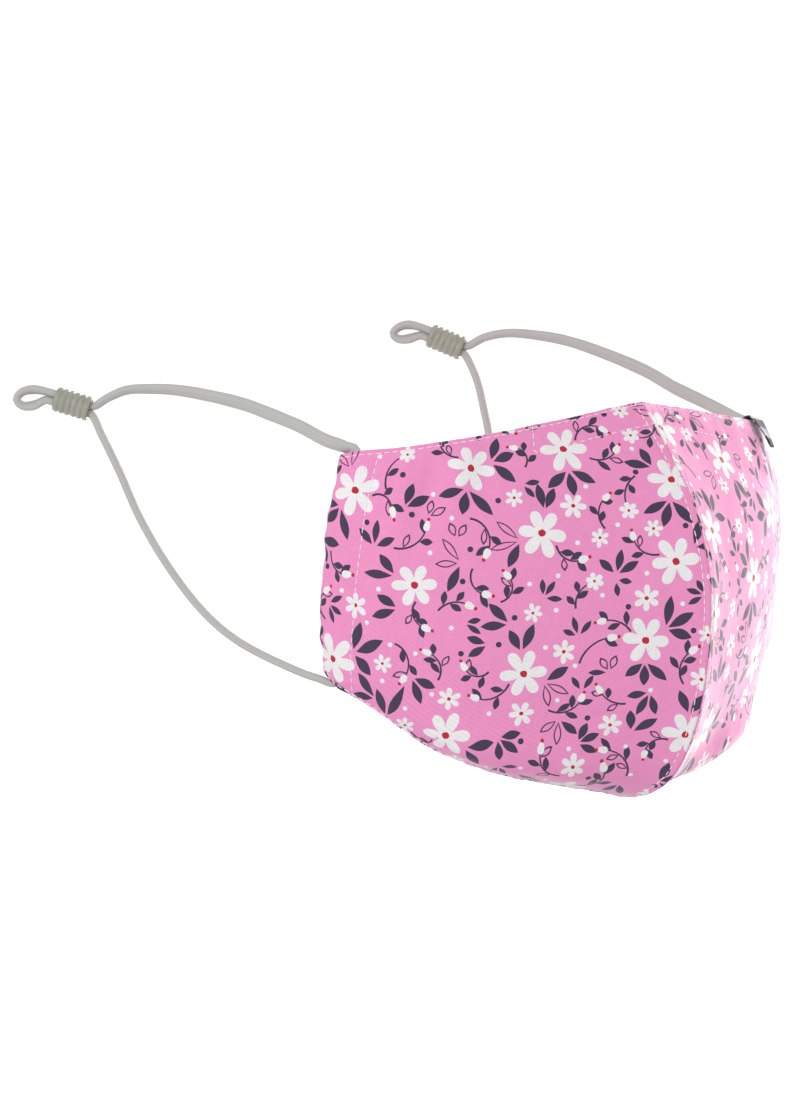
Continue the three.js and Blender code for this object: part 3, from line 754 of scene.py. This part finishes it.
def printed_sheet(side_name, seed):
    """One half as a closed sheet: the printed face, cut along every motif outline, and a plain inner face."""
    side = sides[side_name]
    laid = lay_out_print(seed)
    outline, loose = sheet_points(np.random.default_rng(seed + 1))
    corners, polygons = [outline], [list(range(len(outline)))]
    count = len(outline)
    for ink, points in laid:
        x, y = points[:, 0], points[:, 1]
        if (x * np.roll(y, -1) - np.roll(x, -1) * y).sum() < 0:
            points = points[::-1]
        corners.append(points)
        polygons.append(list(range(count, count + len(points))))
        count += len(points)
    corners.append(loose)
    flat = [Vector(p) for p in np.vstack(corners).tolist()]
    cut, _, triangles, _, _, owners = geometry.delaunay_2d_cdt(flat, [], polygons, 0, 1e-4, True)
    cut = np.array([tuple(p) for p in cut])
    inks = [ground] + [ink for ink, _ in laid]
    kept = [(tri, inks[max(own)]) for tri, own in zip(triangles, owners) if 0 in own]
    tris = np.array([tri for tri, _ in kept])
    tri_ink = np.array([ink for _, ink in kept])
    used, tris = np.unique(tris, return_inverse=True)
    tris = tris.reshape(-1, 3)
    x, y = cut[used, 0], cut[used, 1]
    here, along_x, along_y, outward, inward = sheet_frame(x, y)
    height = relief(side_name, x, y, here, along_x, along_y)
    thickness = sheet_thickness(x)
    recess = hem_rounding(x, y, along_y)
    at_seam = np.clip(1 - x / 2.5, 0, 1)[:, None]
    into = np.where(x[:, None] < 2.5, at_seam * inward + (1 - at_seam) * -outward, -outward)
    face = here + outward * height[:, None]
    lining = here + into * (thickness - recess)[:, None] + outward * np.clip(height, -0.3, 0.3)[:, None] * 0.5
    seam_line = x < 1e-6
    face[seam_line, 0] = here[seam_line, 0]
    lining[seam_line, 0] = here[seam_line, 0]
    points = np.vstack([face, lining]) * (side, 1, 1)
    count = len(x)
    outer = tris if side < 0 else tris[:, ::-1]
    directed = {(a, b) for tri in outer for a, b in zip(tri, np.roll(tri, -1))}
    rims = [(b, a, a + count, b + count) for a, b in directed if (b, a) not in directed]
    faces = outer.tolist() + (outer[:, ::-1] + count).tolist() + sorted(rims)
    panel_length = np.interp(y / sheet_height, down_marks, row_lengths) - casing_width
    u = np.where(x < panel_width, x / panel_width * panel_length, panel_length + x - panel_width)
    narrowing = (seam_length - fold_length) * np.clip(x / panel_width, 0, 1)
    uv = np.stack([u, y * (seam_length - narrowing) / sheet_height], axis=1)
    uv = np.vstack([uv, uv])
    order = np.concatenate([np.asarray(f) for f in faces])
    piece = new_piece(f"cloth_half_{side_name}", points, faces, "cloth", uv[order])
    mesh = piece.data
    colours = np.array([linear(code) for code in ink_colours])
    corner_ink = np.full(len(order), ground)
    corner_ink[:len(outer) * 3] = np.repeat(tri_ink, 3)
    layer = mesh.color_attributes.new("print", "FLOAT_COLOR", "CORNER")
    layer.data.foreach_set("color", colours[corner_ink].ravel())
    mesh.materials.append(printed_cotton)
    mesh.materials.append(plain_cotton)
    which = np.ones(len(faces), int)
    which[:len(outer)] = 0
    mesh.polygons.foreach_set("material_index", which)
    return piece


def crossed_threads(tree, parts, rate):
    """A wave across the cloth times a wave down it, which rises at each crossing of two threads."""
    waves = []
    for k in (0, 1):
        turns = add_node(tree, "ShaderNodeMath", {0: parts.outputs[k], 1: rate}, operation="MULTIPLY")
        waves.append(add_node(tree, "ShaderNodeMath", {0: turns.outputs[0]}, operation="SINE"))
    return add_node(
        tree, "ShaderNodeMath", {0: waves[0].outputs[0], 1: waves[1].outputs[0]}, operation="MULTIPLY")


def woven_cotton(name, plain_colour=None):
    # Cotton poplin, plain woven and printed: matt, with a fine even grain of threads and faint slubs. The
    # colour carries painted light and shade, lighter on the raised threads and darker between them, and
    # varies with the slubs. A thread is really about 0.3 mm, and is drawn 0.8 mm wide so that the grain
    # shows.
    material, tree, output = new_material(name)
    place = add_node(tree, "ShaderNodeUVMap", uv_map="cloth")
    bias = add_node(
        tree, "ShaderNodeMapping", {"Vector": place.outputs[0], "Rotation": (0, 0, math.radians(38))})
    parts = add_node(tree, "ShaderNodeSeparateXYZ", {0: bias.outputs[0]})
    crossing = crossed_threads(tree, parts, math.pi / 0.8)
    thread = add_node(tree, "ShaderNodeMath", {0: crossing.outputs[0]}, operation="ABSOLUTE")
    slubs = []
    for scale in ((0.25, 3.0, 1), (3.0, 0.25, 1)):
        stretched = add_node(tree, "ShaderNodeMapping", {"Vector": place.outputs[0], "Scale": scale})
        inputs = {"Vector": stretched.outputs[0], "Scale": 1.0, "Detail": 2}
        slubs.append(add_node(tree, "ShaderNodeTexNoise", inputs))
    slub = add_node(tree, "ShaderNodeMath", {0: slubs[0].outputs[0], 1: slubs[1].outputs[0]}, operation="ADD")
    height = add_node(
        tree, "ShaderNodeMath", {0: thread.outputs[0], 1: 0.6, 2: slub.outputs[0]}, operation="MULTIPLY_ADD")
    # Painted light and shade: the print is lighter where threads cross high and darker between them, and the
    # slubs vary it at random.
    shade = add_node(tree, "ShaderNodeMapRange", {0: height.outputs[0], 1: 0.7, 2: 1.7, 3: 0.88, 4: 1.1})
    if plain_colour:
        colour = linear(plain_colour)
    else:
        colour = add_node(tree, "ShaderNodeAttribute", attribute_name="print").outputs["Color"]
    # The mix node's colour sockets are its seventh and eighth, and its third output
    tinted = add_node(
        tree, "ShaderNodeMix", {0: 1.0, 6: colour, 7: shade.outputs[0]},
        data_type="RGBA", blend_type="MULTIPLY")
    rough = add_node(tree, "ShaderNodeMapRange", {0: slub.outputs[0], 1: 0.7, 2: 1.3, 3: 0.82, 4: 0.94})
    bump = add_node(
        tree, "ShaderNodeBump", {"Strength": 0.5, "Distance": 0.00008, "Height": height.outputs[0]})
    surface = add_node(tree, "ShaderNodeBsdfPrincipled", {
        "Base Color": tinted.outputs[2], "Roughness": rough.outputs[0], "Normal": bump.outputs[0],
        "Sheen Weight": 1.0, "Sheen Roughness": 0.3, "Specular IOR Level": 0.4,
    })
    tree.links.new(surface.outputs[0], output.inputs[0])
    return material


printed_cotton = woven_cotton("printed_cotton")
plain_cotton = woven_cotton("cotton_lining", "#f6c4dd")
cloth_halves = {name: printed_sheet(name, seed) for name, seed in (("right", 11), ("left", 23))}

for side_name, half in cloth_halves.items():
    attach(half, "root")
    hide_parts(f"shell_{side_name}", f"casing_{side_name}")

# Points along the centre seam, and the sheet's slopes on a grid a millimetre apart over a half
seam_edge = cloth_face(np.zeros_like(share_marks), share_marks)
grid_x, grid_y = (g.ravel() for g in np.meshgrid(
    np.arange(0.5, panel_width + casing_run, 1.0), np.arange(0.5, sheet_height, 1.0)))
_, grid_along_x, grid_along_y, _, _ = sheet_frame(grid_x, grid_y)

# Stitching: a white polyester sewing thread in lockstitch, 2.6 millimetres a stitch. It runs beside the seam,
# along the hems, down the casing and round the channel for the nose stiffener, and shows on the lining too.
stitch_length, thread_width = 2.15, 0.34


def polyester_thread():
    # Twisted polyester sewing thread: white, with a slight gloss and a fine rope-like twist.
    material, tree, output = new_material("polyester_thread")
    place = add_node(tree, "ShaderNodeTexCoord")
    twist = add_node(
        tree, "ShaderNodeTexNoise", {"Vector": place.outputs["Object"], "Scale": 4500.0, "Detail": 2})
    tone = add_node(tree, "ShaderNodeValToRGB", {0: twist.outputs[0]})
    for element, code in zip(tone.color_ramp.elements, ("#f0e3ea", "#fcf6f9")):
        element.color = linear(code)
    rough = add_node(tree, "ShaderNodeMapRange", {0: twist.outputs[0], 3: 0.45, 4: 0.65})
    bump = add_node(
        tree, "ShaderNodeBump", {"Strength": 0.4, "Distance": 0.00005, "Height": twist.outputs[0]})
    surface = add_node(tree, "ShaderNodeBsdfPrincipled", {
        "Base Color": tone.outputs[0], "Roughness": rough.outputs[0], "Normal": bump.outputs[0]})
    tree.links.new(surface.outputs[0], output.inputs[0])
    return material


def stitching_tree(material):
    """Lays one short thread after another along each line."""
    tree = bpy.data.node_groups.new("stitching", "GeometryNodeTree")
    tree.interface.new_socket("Lines", in_out="INPUT", socket_type="NodeSocketGeometry")
    for name in ("Pitch", "Length", "Width"):
        tree.interface.new_socket(name, in_out="INPUT", socket_type="NodeSocketFloat")
    tree.interface.new_socket("Stitches", in_out="OUTPUT", socket_type="NodeSocketGeometry")
    given = add_node(tree, "NodeGroupInput")
    curve = add_node(tree, "GeometryNodeMeshToCurve", {"Mesh": given.outputs["Lines"]})
    spaced = add_node(
        tree, "GeometryNodeResampleCurve",
        {"Curve": curve.outputs[0], "Length": given.outputs["Pitch"]}, mode="LENGTH")
    tangent = add_node(tree, "GeometryNodeInputTangent")
    facing = add_node(
        tree, "FunctionNodeAlignRotationToVector", {"Vector": tangent.outputs[0]}, axis="X")
    wobble = add_node(
        tree, "FunctionNodeRandomValue", {0: (0.9, 0.9, 0.9), 1: (1.08, 1.1, 1.1), "Seed": 7},
        data_type="FLOAT_VECTOR")
    ball = add_node(tree, "GeometryNodeMeshUVSphere", {"Segments": 8, "Rings": 6, "Radius": 0.5})
    size = add_node(
        tree, "ShaderNodeCombineXYZ",
        {0: given.outputs["Length"], 1: given.outputs["Width"], 2: given.outputs["Width"]})
    thread = add_node(tree, "GeometryNodeTransform", {"Geometry": ball.outputs[0], "Scale": size.outputs[0]})
    laid = add_node(tree, "GeometryNodeInstanceOnPoints", {
        "Points": spaced.outputs[0], "Instance": thread.outputs[0],
        "Rotation": facing.outputs[0], "Scale": wobble.outputs[0],
    })
    real = add_node(tree, "GeometryNodeRealizeInstances", {"Geometry": laid.outputs[0]})
    smooth = add_node(tree, "GeometryNodeSetShadeSmooth", {"Geometry": real.outputs[0]})
    finished = add_node(
        tree, "GeometryNodeSetMaterial", {"Geometry": smooth.outputs[0], "Material": material})
    add_node(tree, "NodeGroupOutput", {"Stitches": finished.outputs[0]})
    return tree


def grown_piece(name, mesh, tree, values):
    """Runs a node tree on a mesh and keeps the result as a plain mesh."""
    piece = bpy.data.objects.new(name, mesh)
    bpy.context.scene.collection.objects.link(piece)
    modifier = piece.modifiers.new("tree", "NODES")
    modifier.node_group = tree
    for socket in tree.interface.items_tree:
        if socket.name in values:
            modifier[socket.identifier] = values[socket.name]
    grown = bpy.data.meshes.new_from_object(piece.evaluated_get(bpy.context.evaluated_depsgraph_get()))
    piece.modifiers.remove(modifier)
    piece.data = grown
    return piece


thread_tree = stitching_tree(polyester_thread())
for side_name, side in sides.items():
    points, edges = [], []
    for number, line in enumerate(sheet_lines):
        here, along_x, along_y, outward, _ = sheet_frame(line[:, 0], line[:, 1])
        lift = relief(side_name, line[:, 0], line[:, 1], here, along_x, along_y)
        runs = [here + outward * (lift[:, None] + 0.1)]
        if number not in casing_lines:
            depth = sheet_thickness(line[:, 0]) + 0.06 - 0.5 * np.clip(lift, -0.3, 0.3)
            runs.append((here - outward * depth[:, None])[line[:, 0] < panel_width - 1])
        for run in runs:
            run, _, _ = follow(run * (side, 1, 1), 0.7)
            edges += [(len(points) + k, len(points) + k + 1) for k in range(len(run) - 1)]
            points += run.tolist()
    mesh = bpy.data.meshes.new(f"stitches_{side_name}")
    mesh.from_pydata((np.array(points) / 1000).tolist(), edges, [])
    stitches = grown_piece(
        f"stitches_{side_name}", mesh, thread_tree,
        {"Pitch": stitch_pitch / 1000, "Length": stitch_length / 1000, "Width": thread_width / 1000})
    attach(stitches, "root")

# Cord stoppers: short tubes moulded from milky grey silicone with six rounded ribs to grip. Both strands of
# a loop are pushed through the bore, and the tube slides along them to fit the ear.
stopper_ribs, rib_pitch, rib_height = 6, 1.87, 0.6
stopper_bore, stopper_wall, stopper_sides = 2.65, 0.6, 56


def moulded_silicone():
    # Moulded silicone rubber: milky and grey, lets some light in, with a satin skin that picks up lint.
    material, tree, output = new_material("moulded_silicone")
    place = add_node(tree, "ShaderNodeTexCoord")
    cloud = add_node(
        tree, "ShaderNodeTexNoise", {"Vector": place.outputs["Object"], "Scale": 350.0, "Detail": 3})
    tone = add_node(tree, "ShaderNodeValToRGB", {0: cloud.outputs[0]})
    for element, code in zip(tone.color_ramp.elements, ("#a9aa9d", "#c3c4b7")):
        element.color = linear(code)
    rough = add_node(tree, "ShaderNodeMapRange", {0: cloud.outputs[0], 3: 0.3, 4: 0.5})
    skin = add_node(tree, "ShaderNodeTexNoise", {"Vector": place.outputs["Object"], "Scale": 3000.0})
    bump = add_node(
        tree, "ShaderNodeBump", {"Strength": 0.3, "Distance": 0.00003, "Height": skin.outputs[0]})
    surface = add_node(tree, "ShaderNodeBsdfPrincipled", {
        "Base Color": tone.outputs[0], "Roughness": rough.outputs[0], "Normal": bump.outputs[0],
        "IOR": 1.41, "Transmission Weight": 0.25, "Subsurface Weight": 0.3, "Subsurface Scale": 0.002,
    })
    tree.links.new(surface.outputs[0], output.inputs[0])
    return material


def stopper_tube(name, centre, axis, material):
    length = stopper_ribs * rib_pitch
    place = np.linspace(0, 1, stopper_ribs * 12 + 1)
    swell = np.abs(np.sin(np.pi * place * stopper_ribs)) ** 0.65
    radius = stopper_bore + stopper_wall + rib_height * (0.2 + 0.8 * swell)
    outer = np.stack([(place - 0.5) * length, radius], axis=1)
    # The rim at each end of the bore is rounded: how far in from the end, and how much wider than the bore
    rounded = ((0.05, 0.35), (0.2, 0.08), (0.6, 0.0))
    rim = [(0.5 * length - back, stopper_bore + wider) for back, wider in rounded]
    inner = rim + [(0.0, stopper_bore)] + [(-along, bore) for along, bore in reversed(rim)]
    section = np.vstack([outer, inner])
    turn = np.linspace(0, 2 * math.pi, stopper_sides, endpoint=False)
    side = unit(np.cross(axis, (0, 0, 1)))
    top = np.cross(side, axis)
    ring = side * np.cos(turn)[:, None] + top * np.sin(turn)[:, None]
    points = centre + section[:, None, :1] * axis + section[:, None, 1:] * ring[None]
    count = len(section)
    faces = []
    for i in range(count):
        near, far = i * stopper_sides, (i + 1) % count * stopper_sides
        for k in range(stopper_sides):
            n = (k + 1) % stopper_sides
            faces.append((near + k, far + k, far + n, near + n))
    tube = new_piece(name, points.reshape(-1, 3), faces)
    tube.data.materials.append(material)
    return tube


silicone = moulded_silicone()
for side_name, side in sides.items():
    strands = np.array(elastic_routes[side_name])
    front, rear = ((strands[out] + strands[back]) / 2 for out, back in (stopper_front, stopper_rear))
    tube = stopper_tube(f"stopper_{side_name}", (front + rear) / 2, unit(front - rear), silicone)
    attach(tube, "root")
    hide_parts(f"cord_stopper_{side_name}")
    loop, loop_path, loop_length = ear_loops[side_name]

# Label: a plain folded tab of woven tape, charcoal with two pale stripes. It is folded over the top edge of
# the left half, sewn through, and its free end stands a little away from the cloth.
label_width, label_thickness, label_from_seam = 11.0, 0.7, 66.0
# The middle of the tape in section, in millimetres out of the cloth and up along it
label_section = [
    (-3.2, -5.0), (-3.15, -2.5), (-3.0, -0.6), (-2.2, 0.75), (-1.0, 1.2), (0.2, 0.9), (1.0, -0.3),
    (1.5, -2.4), (1.9, -4.6), (2.2, -6.9), (2.4, -9.2),
]
# The free end has twisted a little beyond this share of the tape, so its front corner stands off the cloth
label_twist, twist_from = math.radians(9), 0.55


def woven_tape():
    # Woven polyester tape: dense, nearly matt ribs across it, with two pale stripes beyond the fold. A rib is
    # really about 0.25 mm, and is drawn 0.5 mm wide so that it shows.
    material, tree, output = new_material("woven_tape")
    place = add_node(tree, "ShaderNodeUVMap", uv_map="tape")
    parts = add_node(tree, "ShaderNodeSeparateXYZ", {0: place.outputs[0]})
    weave = crossed_threads(tree, parts, 2 * math.pi / 0.5)
    along = add_node(tree, "ShaderNodeMath", {0: parts.outputs[0], 1: 20.0}, operation="DIVIDE")
    stripe = add_node(tree, "ShaderNodeValToRGB", {0: along.outputs[0]})
    stripe.color_ramp.interpolation = "CONSTANT"
    for at, code in (
        (0.0, "#44474b"), (0.44, "#c9cccd"), (0.5, "#474a50"), (0.66, "#a4a8ae"), (0.82, "#2f3237"),
    ):
        element = stripe.color_ramp.elements.new(at) if at else stripe.color_ramp.elements[0]
        element.color = linear(code)
    stripe.color_ramp.elements.remove(stripe.color_ramp.elements[-1])
    fibre = add_node(tree, "ShaderNodeTexNoise", {"Vector": place.outputs[0], "Scale": 2.2, "Detail": 3})
    shade = add_node(tree, "ShaderNodeMapRange", {0: fibre.outputs[0], 3: 0.8, 4: 1.25})
    tinted = add_node(
        tree, "ShaderNodeVectorMath", {0: stripe.outputs[0], 1: shade.outputs[0]}, operation="MULTIPLY")
    rough = add_node(tree, "ShaderNodeMapRange", {0: fibre.outputs[0], 3: 0.8, 4: 0.95})
    bump = add_node(
        tree, "ShaderNodeBump", {"Strength": 0.6, "Distance": 0.0001, "Height": weave.outputs[0]})
    surface = add_node(tree, "ShaderNodeBsdfPrincipled", {
        "Base Color": tinted.outputs[0], "Roughness": rough.outputs[0], "Normal": bump.outputs[0]})
    tree.links.new(surface.outputs[0], output.inputs[0])
    return material


seat_x = np.array([label_from_seam / (row_lengths[0] - casing_width) * panel_width])
seat, seat_along, _, seat_out, _ = (value[0] for value in sheet_frame(seat_x, np.array([0.4])))
seat = sheet_face(seat_x, np.array([0.0]))[0][0]
label_side = -unit(seat_along)
label_out = unit(seat_out - label_side * (seat_out @ label_side))
label_up = np.cross(label_side, label_out)
tape, tape_walked, _ = follow([(a, b, 0) for a, b in label_section], 0.5)
tape_along = unit(np.gradient(tape[:, :2], axis=0))
tape_out = np.stack([-tape_along[:, 1], tape_along[:, 0]], axis=1)
tape_across = np.linspace(-0.5, 0.5, 23)
half_thick = label_thickness / 2 * (1 - 0.55 * np.abs(2 * tape_across) ** 12)
points, uvs, faces = [], [], []
for layer in (1, -1):
    for k, (at, out) in enumerate(zip(tape[:, :2], tape_out)):
        curl = 0.5 * (tape_walked[k] / tape_walked[-1]) ** 2
        twist = label_twist * np.clip((tape_walked[k] / tape_walked[-1] - twist_from) / 0.45, 0, 1)
        across = label_side * math.cos(twist) + label_out * math.sin(twist)
        for share, half in zip(tape_across, half_thick):
            a, b = at + out * (half * layer + curl * (4 * share * share - 0.4))
            points.append(seat + label_out * a + label_up * b + across * (share * label_width))
rows, columns = len(tape), len(tape_across)
for layer in (0, 1):
    for i in range(rows - 1):
        for j in range(columns - 1):
            corners = [(i, j), (i, j + 1), (i + 1, j + 1), (i + 1, j)]
            if layer == 0:
                corners.reverse()
            faces.append([layer * rows * columns + r * columns + c for r, c in corners])
            uvs += [(tape_walked[r], tape_across[c] * label_width) for r, c in corners]
border = [(i, 0) for i in range(rows)] + [(rows - 1, j) for j in range(1, columns)]
border += [(i, columns - 1) for i in range(rows - 2, -1, -1)] + [(0, j) for j in range(columns - 2, 0, -1)]
for (r0, c0), (r1, c1) in zip(border, border[1:] + border[:1]):
    top0, top1 = r0 * columns + c0, r1 * columns + c1
    faces.append([top0, top1, top1 + rows * columns, top0 + rows * columns])
    around = ((r0, c0), (r1, c1), (r1, c1), (r0, c0))
    uvs += [(tape_walked[r], tape_across[c] * label_width) for r, c in around]
label = new_piece("woven_label", points, faces, "tape", uvs)
label.data.materials.append(woven_tape())
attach(label, "root")
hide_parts("edge_label")

# Backdrop and lights: a plain pale floor that curves up into a wall all round, and three soft studio lamps.
# The first two graze the mask's left half, so that it is paler than the right one.
bpy.context.scene.view_settings.view_transform = "Standard"
floor_sides = 64
floor_rows = [(0.01, -0.32), (2.5, -0.32), (5.0, -0.32), (5.6, -0.2), (6.0, 0.15), (6.2, 0.8), (6.2, 6.0)]
around = np.linspace(0, 2 * math.pi, floor_sides, endpoint=False)
floor_points = [(r * math.cos(a), r * math.sin(a), z) for r, z in floor_rows for a in around]
floor_faces = []
for i in range(len(floor_rows) - 1):
    inner, outer = floor_sides * i, floor_sides * (i + 1)
    for k in range(floor_sides):
        n = (k + 1) % floor_sides
        floor_faces.append((outer + k, outer + n, inner + n, inner + k))
floor_faces.append(tuple(range(floor_sides)))
backdrop = new_piece("backdrop", np.array(floor_points) * 1000, floor_faces)
paper, tree, output = new_material("backdrop_paper")
grain = add_node(tree, "ShaderNodeTexNoise", {"Scale": 40.0, "Detail": 3})
tone = add_node(tree, "ShaderNodeMapRange", {0: grain.outputs[0], 3: 0.86, 4: 0.9})
surface = add_node(tree, "ShaderNodeBsdfPrincipled", {
    "Base Color": tone.outputs[0], "Roughness": 0.9,
    "Emission Color": (1, 1, 1, 1), "Emission Strength": 0.55,
})
tree.links.new(surface.outputs[0], output.inputs[0])
backdrop.data.materials.append(paper)
backdrop.visible_diffuse = False
world = bpy.data.worlds.new("studio")
world.use_nodes = True
sky = world.node_tree
direction = add_node(sky, "ShaderNodeTexCoord")
height = add_node(sky, "ShaderNodeSeparateXYZ", {0: direction.outputs["Generated"]})
brightness = add_node(sky, "ShaderNodeMapRange", {0: height.outputs[2], 1: -0.6, 2: 0.7, 3: 0.72, 4: 0.6})
sky.links.new(brightness.outputs[0], sky.nodes["Background"].inputs[1])
sky.nodes["Background"].inputs[0].default_value = (1, 1, 1, 1)
bpy.context.scene.world = world
for lamp_name, place, size, power, tint in (
    ("key_lamp", (2.0, -0.6, 0.5), 0.9, 14.0, (1.0, 0.98, 0.9)),
    ("rim_lamp", (2.0, 0.75, 0.3), 1.2, 56.0, (1.0, 1.0, 0.98)),
    ("near_fill", (-2.0, -0.6, 0.8), 0.8, 19.0, (1.0, 1.0, 1.0)),
):
    lamp_data = bpy.data.lights.new(lamp_name, "AREA")
    lamp_data.size, lamp_data.energy, lamp_data.color = size, power, tint
    lamp = bpy.data.objects.new(lamp_name, lamp_data)
    lamp.location = place
    lamp.rotation_mode = "QUATERNION"
    lamp.rotation_quaternion = (Vector((0, 0.05, -0.05)) - Vector(place)).to_track_quat("-Z", "Y")
    bpy.context.scene.collection.objects.link(lamp)
